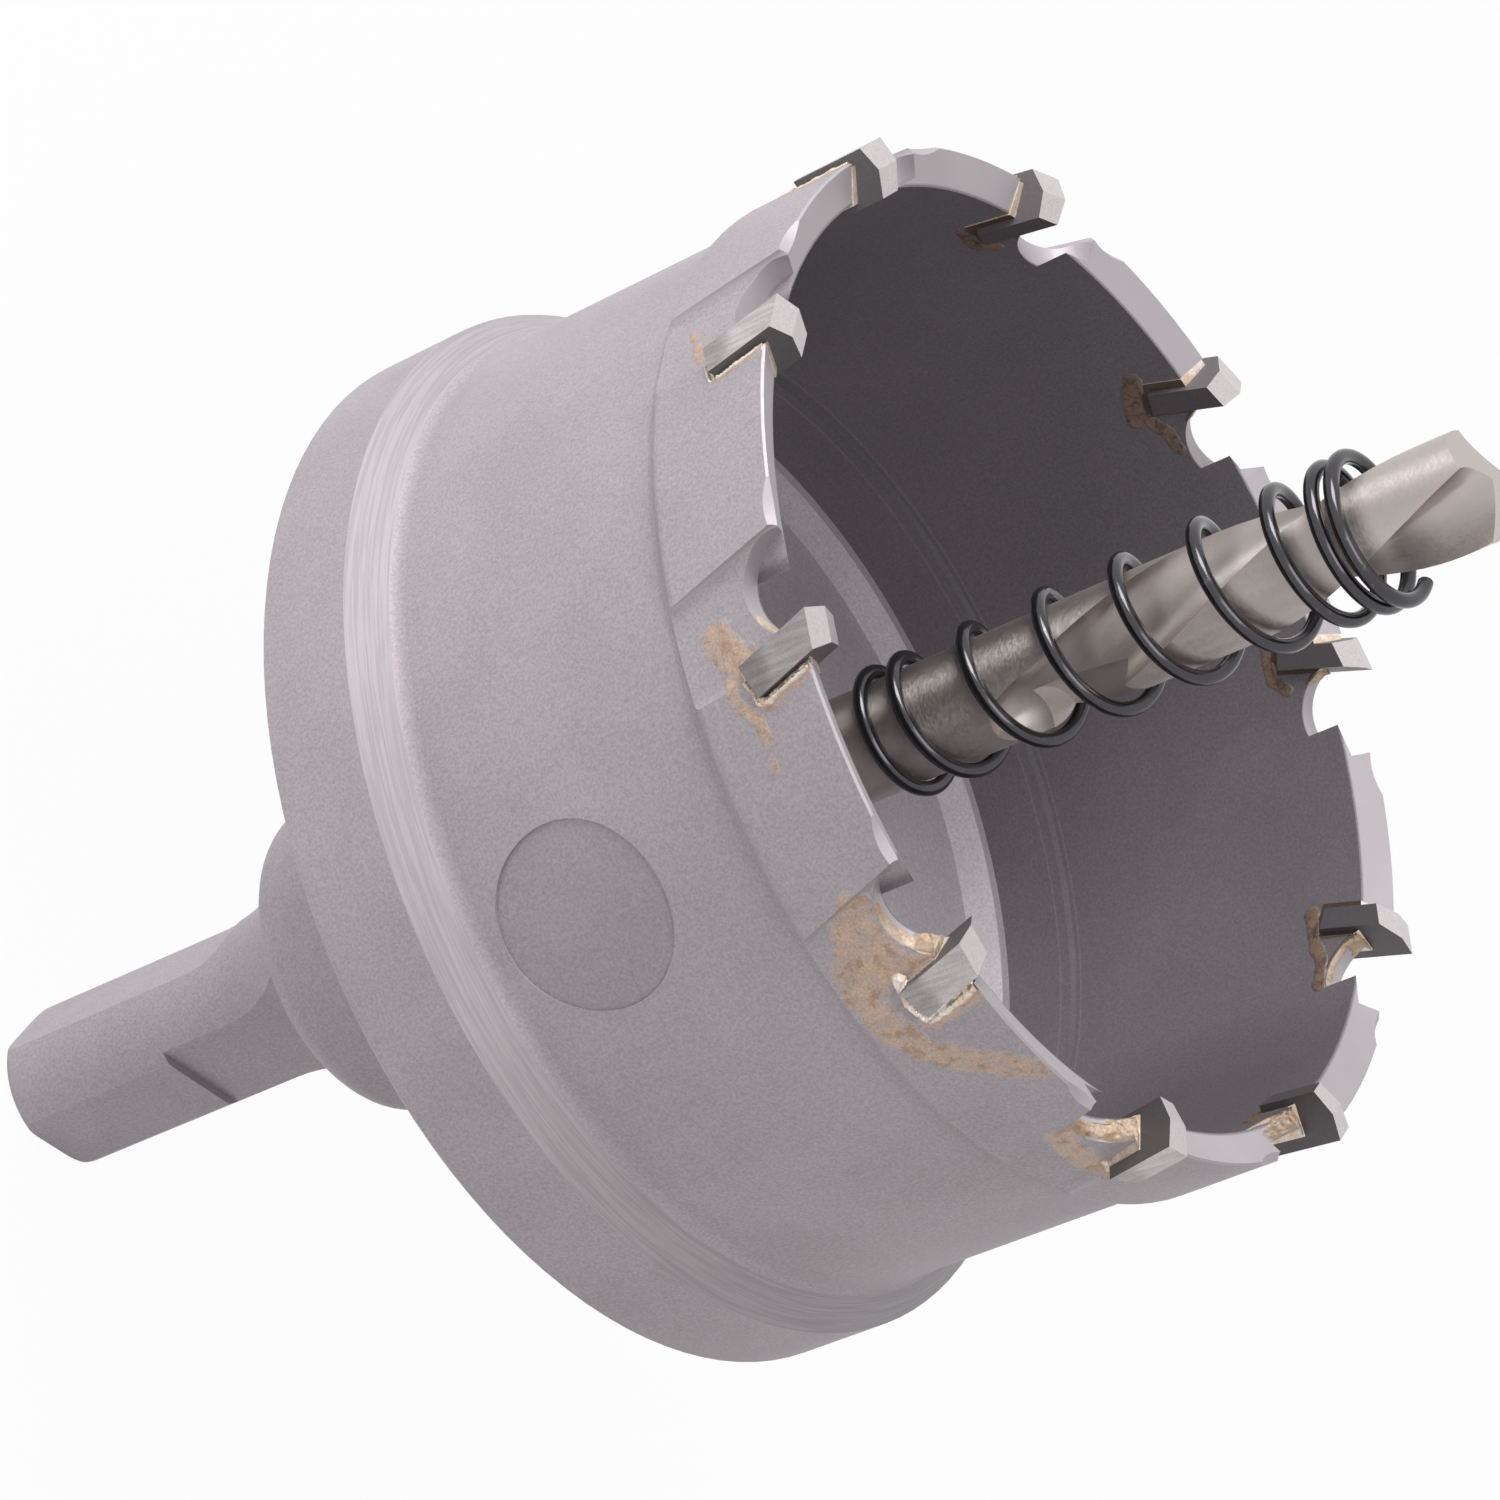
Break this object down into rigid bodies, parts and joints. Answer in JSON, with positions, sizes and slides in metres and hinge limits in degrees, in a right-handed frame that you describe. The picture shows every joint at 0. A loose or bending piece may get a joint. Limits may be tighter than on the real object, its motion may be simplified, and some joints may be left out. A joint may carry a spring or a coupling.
{
  "type": "hole saw",
  "caption": "Carbide-tipped hole saw: a steel cup with a stop flange, hub and three-flat shank, brazed tips, a twisted pilot drill and an ejector spring round it.",
  "frame": {"origin": "centre of the shank's flat end", "axes": "+Z along the tool axis from the shank's end towards the drill's point; +X lies 8 degrees before the first tip, turning towards +Y"},
  "size_m": [0.078, 0.078, 0.1322],
  "materials": {
    "body_steel": "bead-blasted satin grey",
    "carbide": "ground",
    "braze": "dull, as run",
    "drill_steel": "bright satin",
    "spring_steel": "black oxide",
    "screw_steel": "black oxide"
  },
  "bodies": {
    "root": {"braze_seam_01": "braze", "braze_seam_02": "braze", "braze_seam_03": "braze", "braze_seam_04": "braze", "braze_seam_05": "braze", "braze_seam_06": "braze", "braze_seam_07": "braze", "braze_seam_08": "braze", "braze_seam_09": "braze", "braze_seam_10": "braze", "carbide_tip_01": "carbide", "carbide_tip_02": "carbide", "carbide_tip_03": "carbide", "carbide_tip_04": "carbide", "carbide_tip_05": "carbide", "carbide_tip_06": "carbide", "carbide_tip_07": "carbide", "carbide_tip_08": "carbide", "carbide_tip_09": "carbide", "carbide_tip_10": "carbide", "cutter_body": "body_steel", "ejector_spring": "spring_steel", "grub_screw": "screw_steel", "pilot_drill": "drill_steel"}
  },
  "joints": []
}
